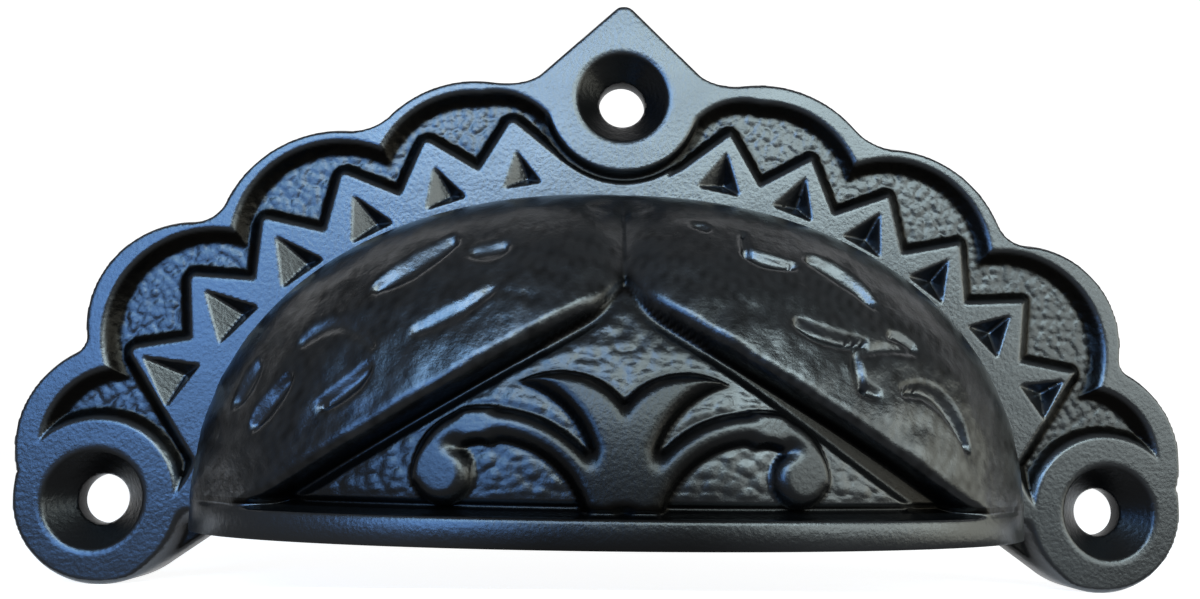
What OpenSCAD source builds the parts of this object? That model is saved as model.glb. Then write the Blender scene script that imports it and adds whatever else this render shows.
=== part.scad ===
// Victorian cup pull: one iron casting for the front of a drawer.
// X runs to the right, Z up, and the front faces -Y. The back lies on Y = 0.
// The origin is on the back, midway between the two lower screw holes.

/* [Screw holes] */
// Distance between the two lower screw holes
hole_span = 87; // [85:0.5:90]
// Height of the top screw hole above the lower two
hole_rise = 36.4; // [35.6:0.2:37.6]
// Diameter of each screw hole
bore_d = 4.2; // [3:0.1:5]
// Diameter of each countersink at the front
csk_d = 8.2; // [7:0.1:9.4]

/* [Plate] */
// Thickness of the plate at its rim and lugs
plate_t = 3.5; // [3:0.1:4.5]
// Depth of the recessed fields in the plate
field_d = 1; // [0.5:0.1:1.5]
// Depth of the centre of the scallops and teeth below the lower holes
pattern_drop = 16; // [15:0.2:17]
// Radius of the plain ground that the scallops stand on
ground_r = 50; // [48.5:0.5:51]
// Radius to the crowns of the scallops
crown_r = 55.6; // [55:0.2:57]
// Radius of each scallop
scallop_r = 11; // [10:0.2:12]
// Angle between neighbouring scallops, in degrees
scallop_pitch = 16.25; // [15.8:0.05:16.6]
// Angle from the middle to the first scallop, in degrees
scallop_start = 16.6; // [16.2:0.1:17]
// Distance of the last scallop's centre from the middle
end_scallop_x = 36.6; // [36.2:0.1:37]
// Height of the last scallop's centre above the lower holes
end_scallop_z = 15.2; // [14.8:0.1:15.6]
// Radius of the last scallop
end_scallop_r = 8.6; // [8.3:0.1:8.9]
// Radius of the fillet between scallops
neck_r = 2.2; // [1:0.1:3]

/* [Lugs] */
// Radius of the raised ring of each lower lug
lug_r = 6.9; // [6:0.1:7.4]
// Radius of the outer edge below each lower lug
heel_r = 7.5; // [7:0.1:8]
// Radius of the outer edge above each lower lug
shoulder_r = 8.8; // [8.2:0.1:9.2]
// Radius of the raised ring of the top lug
top_lug_r = 7; // [6.4:0.1:7.2]
// Height of the point of the top lug above its hole
tip_rise = 8.7; // [8.2:0.1:10]
// Radius of the point of the top lug
tip_r = 1.2; // [0.6:0.1:2]
// Slope of the sides of the top lug, in degrees
tip_slope = 44; // [42:0.5:47]

/* [Recessed fields] */
// Radius to the crowns of the recessed fields
bay_crown_r = 53.8; // [53.4:0.1:54.2]
// Radius of each recessed field
bay_r = 8.5; // [8:0.1:8.8]
// Width of the groove round the top lug
groove_w = 0.75; // [0.5:0.05:0.9]

/* [Teeth] */
// Number of teeth on each side
tooth_count = 6; // [6:1:6]
// Angle between neighbouring teeth, in degrees
tooth_pitch = 8.8; // [8.6:0.05:8.9]
// Angle from the middle to the first tooth, in degrees
tooth_start = 11.2; // [11:0.1:11.6]
// Radius to the tips of the teeth
tooth_tip_r = 51.3; // [50.5:0.1:52]
// Radius to the tip of the last tooth, which stands clear of the rim
end_tooth_r = 50.6; // [50:0.1:51]
// Radius to the roots of the teeth
tooth_root_r = 47.3; // [46.4:0.1:48]
// Radius to the foot of the small triangles
notch_foot_r = 45.3; // [45:0.1:46]
// Radius to the apex of the small triangles
notch_tip_r = 48.5; // [47.6:0.1:49]
// Half the angle across the foot of the small triangles, in degrees
notch_half = 2.3; // [1.4:0.1:2.6]

/* [Hood] */
// Width of the hood where it meets the plate
hood_w = 70.4; // [68:0.2:71.6]
// Height of the hood above the lower holes
hood_h = 27.2; // [26:0.1:27.6]
// Distance from the back to the front of the hood
hood_proj = 20.5; // [17:0.5:25]
// Thickness of the hood wall behind the sunk field
wall_t = 2.3; // [1.8:0.1:3]
// Drop of the lip below the lower holes
lip_drop = 2.1; // [1.6:0.1:2.6]
// Height of the lip's upper edge above the lower holes
lip_top = 0.6; // [0.2:0.1:1.2]
// Bulge of the bead along the lip
lip_bulge = 0.6; // [0.2:0.1:1]

/* [Leaves] */
// Half the width of the sunk field under the leaves
sunk_half_w = 27; // [25:0.5:28]
// Height of the sunk field in the middle
sunk_h = 17; // [16:0.2:18]
// Depth of the sunk field
sunk_d = 1.5; // [0.8:0.1:1.8]
// Depth of the crease between the leaves
crease_d = 1.2; // [0.6:0.1:1.4]
// Half the width of the crease between the leaves
crease_w = 2; // [1:0.1:3]
// Length of the longest cut in a leaf
cut_len = 6.6; // [4:0.2:7.4]
// Width of the widest cut in a leaf
cut_w = 1.7; // [1.2:0.1:2]
// Depth of the cuts in the leaves
cut_d = 0.7; // [0.3:0.1:1]

/* [Scrolls] */
// Height of the scrolls above the sunk field
scroll_h = 1.2; // [0.6:0.1:1.5]
// Width of each scroll's stem
stem_w = 1.9; // [1.4:0.1:2.2]
// Radius of each scroll's round end
scroll_end_r = 2.2; // [1.8:0.1:2.3]
// Distance of each scroll's hook from the middle
hook_x = 10.5; // [10.2:0.1:11]
// Height of each scroll's hook above the lower holes
hook_z = 3.1; // [2.9:0.1:3.4]
// Radius of the arc of each scroll's stem
stem_r = 8; // [7.8:0.1:8.3]
// Radius of each half of the heart
heart_r = 5.9; // [5.6:0.1:6.1]
// Height of the heart's middle above the lower holes
heart_h = 8.6; // [8.2:0.1:9]

/* [Hidden] */
$fn = 96;
slack = 1;
// A fillet bites this far into what it joins, so that their edges cross and don't just touch
bite = 0.02;
crown_c = crown_r - scallop_r;
bay_c = bay_crown_r - bay_r;
lug = [hole_span / 2, 0];
heel = lug + [-0.9, 0.6];
shoulder = lug + [-1.8, 4.8];
end_scallop = [end_scallop_x, end_scallop_z];
end_bay = end_scallop + [-1.8, -0.9];
top_hole = [0, hole_rise];
tip_z = hole_rise + tip_rise;
tip_c = [0, tip_z - tip_r];
// The hood's curve starts inside the plate, so that it crosses the front squarely
hood_a = hood_w / 2;
hood_base = plate_t - 0.8;
hood_b = hood_proj - hood_base - lip_bulge;
// The hood is seated halfway into the plate
seat_y = plate_t / 2;
// The ground of the sunk field lies a little inside the hood's foot
ground_in = 0.5;

// A point of the plate's pattern, by radius and by angle from the middle
function polar(r, angle) = [r * sin(angle), r * cos(angle) - pattern_drop];
function unit(v) = v / norm(v);
function scallop_at(i) = polar(crown_c, scallop_start + i * scallop_pitch);
function tooth_angle(i) = tooth_start + i * tooth_pitch;

// Centre of the circle of radius f that touches two circles on their left-hand side
function touching(c1, r1, c2, r2, f) =
    let (gap = norm(c2 - c1), u = unit(c2 - c1))
    let (along = (gap * gap + (r1 + f) ^ 2 - (r2 + f) ^ 2) / (2 * gap))
    let (up = sqrt((r1 + f) ^ 2 - along ^ 2))
    c1 + u * along + [-u.y, u.x] * up;

// Height of the hood's plain curve in front of the back
function dome(x, z) = hood_base
    + hood_b * sqrt(max(0, 1 - (x / hood_a) ^ 2 - (max(z, 0) / hood_h) ^ 2));

module both() {
    children();
    mirror([1, 0]) children();
}

// A flat drawing made into a prism between two distances from the back
module slab(y0, y1) {
    translate([0, -y0, 0]) rotate([90, 0, 0]) linear_extrude(y1 - y0) children();
}

module disc(c, r) {
    translate(c) circle(r);
}

// Fillet between two discs
module neck(c1, r1, c2, r2, f) {
    f_c = touching(c1, r1, c2, r2, f);
    difference() {
        polygon([c1, f_c, c2]);
        disc(f_c, f + bite);
    }
}

// Fillet between a side of the top lug and the first scallop
module lug_neck() {
    u = [cos(tip_slope), -sin(tip_slope)];
    n = [sin(tip_slope), cos(tip_slope)];
    start = tip_c + n * (tip_r + neck_r) - scallop_at(0);
    reach = scallop_r + neck_r;
    s = -(start * u) - sqrt((start * u) ^ 2 - start * start + reach ^ 2);
    f_c = scallop_at(0) + start + u * s;
    difference() {
        polygon([f_c - n * neck_r, f_c, scallop_at(0), top_hole]);
        disc(f_c, neck_r + bite);
    }
}

module top_point() {
    n = [sin(tip_slope), cos(tip_slope)];
    u = [cos(tip_slope), -sin(tip_slope)];
    side = tip_c + n * tip_r;
    low = side + u * 11;
    disc(tip_c, tip_r);
    polygon([side, low, top_hole - [0, top_lug_r], [-low.x, low.y], [-side.x, side.y]]);
}

module outline() {
    intersection() {
        disc([0, -pattern_drop], ground_r);
        translate([-hole_span / 2, 0.5 - lip_drop]) square([hole_span, hole_span]);
    }
    top_point();
    both() {
        for (i = [0 : 1]) disc(scallop_at(i), scallop_r);
        disc(end_scallop, end_scallop_r);
        neck(scallop_at(0), scallop_r, scallop_at(1), scallop_r, neck_r);
        neck(scallop_at(1), scallop_r, end_scallop, end_scallop_r, neck_r);
        neck(end_scallop, end_scallop_r, shoulder, shoulder_r, neck_r / 2);
        lug_neck();
        disc(shoulder, shoulder_r);
        disc(heel, heel_r);
        // The heel's tangent runs in under the end of the lip
        polygon([heel, heel + heel_r * [-sin(38), -cos(38)], [hood_a - 1, -lip_drop - 0.5], [hood_a - 1, 1]]);
    }
}

// Everything from the teeth inward, which stays at the level of the rim
module teeth() {
    roots = [for (i = [0 : tooth_count - 1]) polar(tooth_root_r, tooth_angle(i - 0.5))];
    tips = [for (i = [0 : tooth_count - 1])
        polar(i < tooth_count - 1 ? tooth_tip_r : end_tooth_r, tooth_angle(i))];
    edge = [for (i = [0 : tooth_count - 1]) each [roots[i], tips[i]]];
    difference() {
        polygon(concat([[0, hole_rise - top_lug_r - groove_w - slack]], edge, [lug + [-7.3, 1.5], [0, 0]]));
        disc(top_hole, top_lug_r + groove_w);
    }
}

module fields() {
    difference() {
        both() {
            for (i = [0 : 1]) disc(polar(bay_c, scallop_start + i * scallop_pitch), bay_r);
            disc(polar(bay_c + 2.6, scallop_start - 3.2), bay_r - 2.7);
            disc(end_bay, bay_r);
            disc(shoulder, shoulder_r - 2.7);
            intersection() {
                disc(top_hole, top_lug_r + groove_w);
                translate([-slack, 0]) square([hole_span, hole_rise - 1.6]);
            }
        }
        both() {
            teeth();
            disc(lug, lug_r);
        }
        disc(top_hole, top_lug_r);
    }
}

module notches() {
    both() for (i = [0 : tooth_count - 1])
        polygon([polar(notch_foot_r, tooth_angle(i) - notch_half), polar(notch_tip_r, tooth_angle(i)),
            polar(notch_foot_r, tooth_angle(i) + notch_half)]);
}

// Screw hole with a ninety degree countersink from the front
module screw_hole(at) {
    cone_h = (csk_d - bore_d) / 2;
    translate([at.x, 0, at.y]) rotate([90, 0, 0]) {
        translate([0, 0, -slack]) cylinder(h = plate_t + 2 * slack, d = bore_d);
        translate([0, 0, plate_t - cone_h]) cylinder(h = cone_h, d1 = bore_d, d2 = csk_d);
        translate([0, 0, plate_t]) cylinder(h = slack, d = csk_d);
    }
}

module plate() {
    difference() {
        slab(0, plate_t) outline();
        slab(plate_t - field_d, plate_t + slack) fields();
        slab(plate_t - field_d, plate_t + slack) notches();
    }
}

// Plain egg-shaped solid with its centre at a distance in front of the back
module egg(base, a, b, c) {
    translate([0, -base, 0]) scale([a, b, c]) rotate([0, 0, 90]) sphere(1, $fn = 128);
}

// The triangle between the leaves and the lip
module sunk_field() {
    polygon([[-sunk_half_w, lip_top], [-sunk_half_w, -slack], [sunk_half_w, -slack], [sunk_half_w, lip_top],
        [0, sunk_h]]);
}

// The crease between the leaves, as a ring with a pointed section round the hood's curve
module crease() {
    deep = crease_d / hood_b;
    over = 0.1;
    half = crease_w * (deep + over) / deep;
    translate([0, -hood_base, 0]) scale([1, hood_b, hood_h]) rotate([0, 90, 0])
        rotate_extrude($fn = 128) polygon([[1 - deep, 0], [1 + over, half], [1 + over, -half]]);
}

// The lip as a bead along the lower edge, broader at its upper face
module lip() {
    wide = 1 + lip_bulge / hood_b;
    translate([0, -hood_base, 0]) scale([hood_a / wide, hood_b, 1]) rotate([0, 0, 90])
        rotate_extrude($fn = 128) polygon([[0, -lip_drop], [wide - 0.03, -lip_drop], [wide, -0.55 * lip_drop],
            [wide - 0.01, lip_top - 0.3], [wide - 0.03, lip_top], [0, lip_top]]);
}

// Scrolls and heart-shaped palmette, drawn as arcs
module palmette() {
    hook = [hook_x, hook_z];
    stem = [hook_x - 1, hook_z - 4.5];
    hook_r = stem.y + stem_r - hook_z;
    foot = lip_top - 0.9;
    both() {
        difference() {
            disc([heart_r - 1.3, heart_r - 1.1], heart_r);
            disc([hook_x - 1, 2.5], stem_r - 0.4);
            translate([-2 * heart_r, -slack]) square([2 * heart_r, 4 * heart_r]);
            translate([-slack, foot - heart_r]) square([4 * heart_r, heart_r]);
        }
        intersection() {
            difference() {
                disc(stem, stem_r + stem_w / 2);
                disc(stem, stem_r - stem_w / 2);
            }
            polygon([stem, [0.6, foot], [0, hook_z + 1.4], [hook_x - 2, sunk_h], [hook_x, sunk_h],
                [hook_x, 0]]);
        }
        intersection() {
            difference() {
                disc(hook, hook_r + stem_w / 2);
                disc(hook, hook_r - stem_w / 2);
            }
            translate(hook - [0.05, 0.05]) square(stem_r);
        }
        disc([hook_x + hook_r + stem_w / 2 - scroll_end_r, hook_z], scroll_end_r);
        polygon([[0, heart_h], [2.4, heart_h - 3], [1.9, 0.6], [2.6, foot], [0, foot]]);
    }
}

// A cut in a leaf: a long scoop, turned in the hood's surface. Its place is given as shares
// of the hood's half width and height, its length and width as shares of the largest cut
module scoop(share_x, share_z, turn, long, wide) {
    x = share_x * hood_a;
    z = share_z * hood_h;
    slope = [dome(x + 0.5, z) - dome(x - 0.5, z), dome(x, z + 0.5) - dome(x, z - 0.5)];
    n = unit([slope.x, 1, slope.y]);
    translate([x, -dome(x, z), z]) rotate([-asin(n.z), 0, asin(n.x)]) rotate([0, turn, 0])
        scale([long * cut_len / 2, cut_d, wide * cut_w / 2]) sphere(1, $fn = 48);
}

module leaf_cuts() {
    scoop(0.47, 0.68, 34, 1, 1);
    scoop(0.32, 0.73, 12, 0.5, 0.7);
    scoop(0.46, 0.5, 14, 0.9, 0.9);
    scoop(0.63, 0.31, 48, 0.9, 0.9);
    scoop(0.78, 0.32, 60, 0.5, 0.65);
}

module leaves() {
    difference() {
        egg(hood_base, hood_a, hood_b, hood_h);
        slab(plate_t, hood_proj + slack) sunk_field();
        crease();
        leaf_cuts();
        mirror([1, 0, 0]) leaf_cuts();
    }
}

// All the space in front of the seat and above a given height
module in_front(z0) {
    translate([-hood_w, -hood_proj - slack, z0]) cube([2 * hood_w, hood_proj + slack - seat_y, hood_w]);
}

// Leaves, sunk ground and palmette, kept in front of the seat and above the lip's middle
module hood() {
    intersection() {
        union() {
            leaves();
            egg(hood_base, hood_a - ground_in, hood_b - sunk_d, hood_h - ground_in);
            intersection() {
                slab(plate_t, hood_proj) palmette();
                egg(hood_base, hood_a - ground_in / 2, hood_b - sunk_d + scroll_h, hood_h - ground_in / 2);
            }
        }
        in_front(-0.5);
    }
    intersection() {
        lip();
        in_front(-2 * lip_drop);
    }
}

// The hollow for the fingers, open below and through the back
module hollow() {
    egg(0, hood_a - wall_t, hood_base + hood_b - sunk_d - wall_t, hood_h - wall_t);
}

module cup_pull() {
    color([0.13, 0.14, 0.16]) difference() {
        union() {
            plate();
            hood();
        }
        hollow();
        for (at = [lug, [-lug.x, lug.y], top_hole]) screw_hole(at);
    }
}

cup_pull();
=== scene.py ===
"""Victorian cup pull: the surface of the iron casting, its black finish and a plain studio."""

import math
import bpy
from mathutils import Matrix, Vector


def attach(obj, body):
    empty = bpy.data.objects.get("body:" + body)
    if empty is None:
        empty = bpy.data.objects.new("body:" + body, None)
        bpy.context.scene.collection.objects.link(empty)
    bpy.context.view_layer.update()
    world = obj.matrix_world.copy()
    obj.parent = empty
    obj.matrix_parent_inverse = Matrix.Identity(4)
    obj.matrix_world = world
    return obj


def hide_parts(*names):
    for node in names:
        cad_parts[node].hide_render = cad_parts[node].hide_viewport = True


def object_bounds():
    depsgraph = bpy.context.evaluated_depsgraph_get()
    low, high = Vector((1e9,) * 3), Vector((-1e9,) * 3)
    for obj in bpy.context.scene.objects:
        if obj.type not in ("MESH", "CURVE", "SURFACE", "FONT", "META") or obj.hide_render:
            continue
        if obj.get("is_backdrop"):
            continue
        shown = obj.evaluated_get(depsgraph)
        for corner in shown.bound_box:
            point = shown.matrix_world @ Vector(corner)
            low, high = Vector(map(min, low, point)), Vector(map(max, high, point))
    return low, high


bl_info = {
    "name": "Victorian Cup Pull",
    "version": (1, 0, 0),
    "blender": (4, 5, 0),
    "location": "View3D > Sidebar > Cup Pull",
    "description": "Builds the casting of a Victorian cup pull with its leaves and scrolls",
    "category": "Add Mesh",
}

import bpy
import numpy as np
from mathutils import Vector, geometry

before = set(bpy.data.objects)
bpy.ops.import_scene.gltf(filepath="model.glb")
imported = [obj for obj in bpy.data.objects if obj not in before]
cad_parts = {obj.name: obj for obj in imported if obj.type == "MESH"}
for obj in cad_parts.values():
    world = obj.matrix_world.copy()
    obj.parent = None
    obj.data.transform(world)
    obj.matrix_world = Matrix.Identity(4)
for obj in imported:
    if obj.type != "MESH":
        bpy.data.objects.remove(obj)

# All drawing is in millimetres, as in the part's source: x to the right, z up, and depth in front
# of the back. Angles of the plate's pattern are in degrees from the middle. The right half is drawn
# and the left one mirrors it, apart from the unevenness that the functions name.
MM = 0.001
FAR = 1e9
TINY = 1e-9

# The plate's pattern has its middle this far under the lower screw holes
PATTERN_DROP = 16.0

# Lugs, screw holes and the pointed top
LUG = (43.5, 0.0)
LUG_RING_R = 6.9
HEEL = (42.6, 0.6)
HEEL_R = 7.5
HEEL_FOOT_TURN = math.radians(38)
HEEL_BRIDGE = (-2.6, 1.0)
HEEL_DROP = 1.2
SHOULDER = (41.7, 4.8)
SHOULDER_R = 8.6
SHOULDER_BAY_R = 6.4
SHOULDER_FILLET = 1.0
TOP_HOLE = (0.0, 36.4)
TOP_RING_R = 7.0
TOP_GROOVE_R = 7.4
TOP_GROOVE_SHARE = 0.8
TOP_GROOVE_END = (35.0, 33.5)
TIP = (0.0, 43.9)
TIP_R = 1.2
TIP_SLOPE = math.radians(44)
TIP_FOOT = 27.0
TIP_FILLET = 2.2
BORE_R = 2.1
CONE_R = 4.1
CONE_ROUND = 0.12
PLATE_BOX = (-51.1, 51.1, -7.5, 45.8)

# Hood: half width, height and depth of its outer and inner curves, and how square the outer oval is
HOOD_A = 35.2
HOOD_H = 27.2
HOOD_B = 17.2
HOOD_BASE = 2.7
HOOD_SQUARE = 2.22
HOOD_OVERLAP = 1.0
HOOD_SEAT = 2.3
INNER_A = 32.9
INNER_H = 24.9
INNER_B = 16.1
INNER_GAP = 0.15
LIP_DROP = 2.1

# Share of a ramp that is straight
RAMP_STRAIGHT = 0.35

# Noise: cells before the bumps repeat, a bump's radius in cells, the lowest bump, and sine waves
NOISE_CELLS = 64
BUMP_R = 0.75
LOWEST_BUMP = 0.6
WAVES = 9


def smooth(t):
    """Zero below 0, one above 1 and an S-curve between."""
    t = np.clip(t, 0.0, 1.0)
    return t * t * (3 - 2 * t)


def rise(t, start, end):
    """An S-curve from zero at the start to one at the end, which may lie on either side of it.

    Both are places or distances in the drawing, between which a form comes in.
    """
    return smooth((t - start) / (end - start))


def ramp(t, start, end):
    """Zero at the start, one at the end and nearly straight between, with its ends rounded."""
    share = (t - start) / (end - start)
    return RAMP_STRAIGHT * np.clip(share, 0.0, 1.0) + (1 - RAMP_STRAIGHT) * smooth(share)


def polar(r, angle):
    """A point of the plate's pattern, by radius and by angle in degrees from the middle."""
    turn = math.radians(angle)
    return (r * math.sin(turn), r * math.cos(turn) - PATTERN_DROP)


def disc(x, z, centre, r):
    """Distance to a circle, negative inside."""
    return np.hypot(x - centre[0], z - centre[1]) - r


def fillet_union(a, b, r):
    """Union of two distances with a round fillet of radius r where they meet."""
    inner = np.hypot(np.maximum(r - a, 0), np.maximum(r - b, 0))
    return np.maximum(r, np.minimum(a, b)) - inner


def polygon(x, z, points):
    """Distance to a closed polygon, negative inside.

    The nearest edge gives the distance, and the edges crossed on the way to one side give the sign.
    """
    best = np.full(np.shape(x), FAR)
    inside = np.zeros(np.shape(x), bool)
    for (x0, z0), (x1, z1) in zip(points, points[1:] + points[:1]):
        ex, ez = x1 - x0, z1 - z0
        t = np.clip(((x - x0) * ex + (z - z0) * ez) / (ex * ex + ez * ez), 0, 1)
        best = np.minimum(best, np.hypot(x - x0 - t * ex, z - z0 - t * ez))
        if ez:
            inside ^= ((z0 > z) != (z1 > z)) & (x < x0 + (z - z0) * ex / ez)
    return np.where(inside, -best, best)


def cell_noise(x, z, pitch, seed):
    """Round bumps, one at a random place in each square cell.

    A bump falls with the square of the distance from its random height at the middle, one at most,
    to zero at its edge, and where bumps overlap the highest counts.
    """
    rng = np.random.default_rng(seed)
    places = rng.random((NOISE_CELLS, NOISE_CELLS, 3))
    i, k = np.floor(x / pitch).astype(int), np.floor(z / pitch).astype(int)
    out = np.zeros(np.shape(x))
    for di in (-1, 0, 1):
        for dk in (-1, 0, 1):
            p = places[(i + di) % NOISE_CELLS, (k + dk) % NOISE_CELLS]
            r = np.hypot(x / pitch - i - di - p[..., 0], z / pitch - k - dk - p[..., 1])
            height = LOWEST_BUMP + (1 - LOWEST_BUMP) * p[..., 2]
            out = np.maximum(out, height * np.clip(1 - (r / BUMP_R) ** 2, 0, 1))
    return out


def wave_noise(x, z, size, seed):
    """A gentle unevenness: twice the mean of sine waves of one length in random directions."""
    rng = np.random.default_rng(seed)
    out = np.zeros(np.shape(x))
    for turn, phase in rng.random((WAVES, 2)) * 2 * math.pi:
        along = x * math.cos(turn) + z * math.sin(turn)
        out += np.sin(along * 2 * math.pi / size + phase)
    return 2 * out / WAVES


# Scallops of the rim, as centre and radius, from the top lug down. The first is uneven: larger on
# the right and smaller on the left. The round ground behind them ends at its foot.
GROUND_R = 50.0
GROUND_FOOT = -1.6
CROWN_SCALLOP = polar(44.8, 16.6)
CROWN_SCALLOP_R = 10.9
CROWN_UNEVEN = 0.3
MIDDLE_SCALLOP = (polar(44.9, 32.85), 10.8)
END_SCALLOP = ((36.6, 15.2), 8.7)
SCALLOP_FILLET = 2.0

# Bays inside the scallops and over the lower lugs, as centre and radius
BAYS = (
    (polar(45.3, 16.6), 9.0),
    ((24.4, 22.3), 9.2),
    ((34.75, 14.3), 9.0),
    (polar(47.9, 13.4), 6.0),
    (SHOULDER, SHOULDER_BAY_R),
)

# Teeth: how many, the first one's angle, the angle between them, and their radii. What is drawn for
# the right half reaches a little over the middle.
TEETH = 6
TOOTH_START = 11.2
TOOTH_PITCH = 8.8
TOOTH_ROOT_R = 46.3
TOOTH_TIP_R = 50.3
END_TOOTH_R = 49.7
TOOTH_ROUND = 0.65
TOOTH_SLIM = 0.5
TEETH_TOP = 27.0
TEETH_END = [(35.0, 3.6), (34.4, 1.5)]
OVER_MIDDLE = -10.0

# Triangles at the teeth's feet: radius of the base, height, half angle of the base, slopes of the
# sides, most depth, and their size as a share, which grows tooth by tooth on the left and is even
# on the right
TRIANGLE_R = 44.85
TRIANGLE_H = 4.1
TRIANGLE_HALF = 2.8
TRIANGLE_STEEP = 1.6
TRIANGLE_GENTLE = 0.7
TRIANGLE_DEEPEST = 1.7
TRIANGLE_FIRST = 0.78
TRIANGLE_GROWTH = 0.075
TRIANGLE_LARGEST = 1.05
TRIANGLE_RIGHT = 0.9

# Unevenness of the plate: pitch of the stipple's bumps, and height and length of the face's waves
FIELD_BUMPS = 0.66
FACE_WAVE_H = 0.004
FACE_WAVE = 2.3

# Painted shade: how much each form takes from the brightness of the plate's iron where shade falls
PLATE_PAINTED_SHADE = {
    "wall": 0.92,
    "groove": 0.9,
    "cone": 0.6,
    "heel": 0.8,
    "floor": 0.3,
    "triangle": 0.15,
}


def outline(x, z):
    """Distance to the plate's outline, negative inside.

    It joins the scallops with fillets, the pointed top, the two lower lugs and the round ground
    behind them.
    """
    uneven = CROWN_UNEVEN * np.sign(x)
    x = np.abs(x)
    d = disc(x, z, CROWN_SCALLOP, CROWN_SCALLOP_R + uneven)
    d = fillet_union(d, disc(x, z, *MIDDLE_SCALLOP), SCALLOP_FILLET)
    d = fillet_union(d, disc(x, z, *END_SCALLOP), SCALLOP_FILLET)
    run, fall = math.cos(TIP_SLOPE), math.sin(TIP_SLOPE)
    px, pz = x - TIP[0], z - TIP[1]
    on_side = px * run - pz * fall > 0
    side = np.where(on_side, px * fall + pz * run, np.hypot(px, pz)) - TIP_R
    d = fillet_union(d, np.maximum(side, TIP_FOOT - z), TIP_FILLET)
    d = fillet_union(d, disc(x, z, SHOULDER, SHOULDER_R), SHOULDER_FILLET)
    d = np.minimum(d, disc(x, z, HEEL, HEEL_R))
    heel_foot = (
        HEEL[0] - HEEL_R * math.sin(HEEL_FOOT_TURN),
        HEEL[1] - HEEL_R * math.cos(HEEL_FOOT_TURN),
    )
    bridge = [(HOOD_A - HOOD_OVERLAP, height) for height in HEEL_BRIDGE]
    d = np.minimum(d, polygon(x, z, [HEEL, heel_foot] + bridge))
    ground = np.maximum(disc(x, z, (0, -PATTERN_DROP), GROUND_R), GROUND_FOOT - z)
    return np.minimum(d, ground)


def ellipse(x, z, a, h):
    """Rough distance to an upright ellipse that runs straight down below its middle."""
    up = np.maximum(z, 0)
    f = np.sqrt((x / a) ** 2 + (up / h) ** 2) + TINY
    slope = np.hypot(x / a**2, up / h**2) / f + TINY
    return (f - 1) / slope


def screw_radius(x, z):
    """Distance to the axis of the nearest screw hole."""
    return np.minimum(disc(np.abs(x), z, LUG, 0), disc(x, z, TOP_HOLE, 0))


def plate_edge(x, z):
    """Distance to the plate's edge, with the screw holes and the opening behind the hood."""
    d = np.maximum(outline(x, z), BORE_R - screw_radius(x, z))
    return np.maximum(d, -ellipse(x, z, INNER_A - INNER_GAP, INNER_H - INNER_GAP))


def bays(x, z):
    """Distance to the bays, before the teeth and the lugs' rings are left standing in them."""
    return np.minimum.reduce([disc(np.abs(x), z, centre, r) for centre, r in BAYS])


def tooth_turn(i):
    """Angle of a tooth, counted from the top lug. Halves give the roots between the teeth."""
    return TOOTH_START + i * TOOTH_PITCH


def standing(x, z):
    """Distance to what stands in the bays: the lugs' rings and a zigzag of round-edged teeth.

    The teeth are a little slimmer on the right.
    """
    slim = TOOTH_SLIM * rise(x, 0, 3)
    x = np.abs(x)
    zigzag = []
    for i in range(TEETH):
        tip_r = TOOTH_TIP_R if i < TEETH - 1 else END_TOOTH_R
        zigzag += [polar(TOOTH_ROOT_R, tooth_turn(i - 0.5)), polar(tip_r, tooth_turn(i))]
    top = [(OVER_MIDDLE, TEETH_TOP), (0, TEETH_TOP)]
    d = polygon(x, z, top + zigzag + TEETH_END + [(OVER_MIDDLE, 0)]) + slim - TOOTH_ROUND
    d = np.minimum(d, disc(x, z, LUG, LUG_RING_R))
    return np.minimum(d, disc(x, z, TOP_HOLE, TOP_RING_R))


def triangles(x, z):
    """Depth of the small triangles at the teeth's feet, pits with three flat sides.

    A side's depth is its slope times the distance from its edge. The shallowest side counts, and
    the side on the left is the gentlest.
    """
    deep = np.zeros(np.shape(x))
    for side in (-1, 1):
        for i in range(TEETH):
            grown = min(TRIANGLE_FIRST + TRIANGLE_GROWTH * i, TRIANGLE_LARGEST)
            share = grown if side < 0 else TRIANGLE_RIGHT
            turn, half = side * tooth_turn(i), TRIANGLE_HALF * share
            corners = [
                polar(TRIANGLE_R, turn - half),
                polar(TRIANGLE_R + TRIANGLE_H * share, turn),
                polar(TRIANGLE_R, turn + half),
            ]
            pit = np.full(np.shape(x), FAR)
            for (x0, z0), (x1, z1) in zip(corners, corners[1:] + corners[:1]):
                ex, ez = x1 - x0, z1 - z0
                length = math.hypot(ex, ez)
                inside = ((x - x0) * ez - (z - z0) * ex) / length
                gentle = smooth(ez / length)
                slope = TRIANGLE_STEEP + (TRIANGLE_GENTLE - TRIANGLE_STEEP) * gentle
                pit = np.minimum(pit, slope * inside)
            deep = np.maximum(deep, pit)
    return np.clip(deep, 0, TRIANGLE_DEEPEST)


def heel(x, z):
    """One on the slope from a lower lug's face down to the lip, zero on the face."""
    x = np.abs(x)
    return rise(disc(x, z, LUG, 0), 6.8, 8.0) * rise(x, 40.5, 38.5) * rise(z, -0.5, -2.0)


def top_groove(x, z, edge, full):
    """One on the groove under the top lug's ring, and zero from the edge's distance outwards."""
    away = np.abs(disc(x, z, TOP_HOLE, TOP_GROOVE_R))
    return rise(away, edge, full) * rise(z, *TOP_GROOVE_END)


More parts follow.
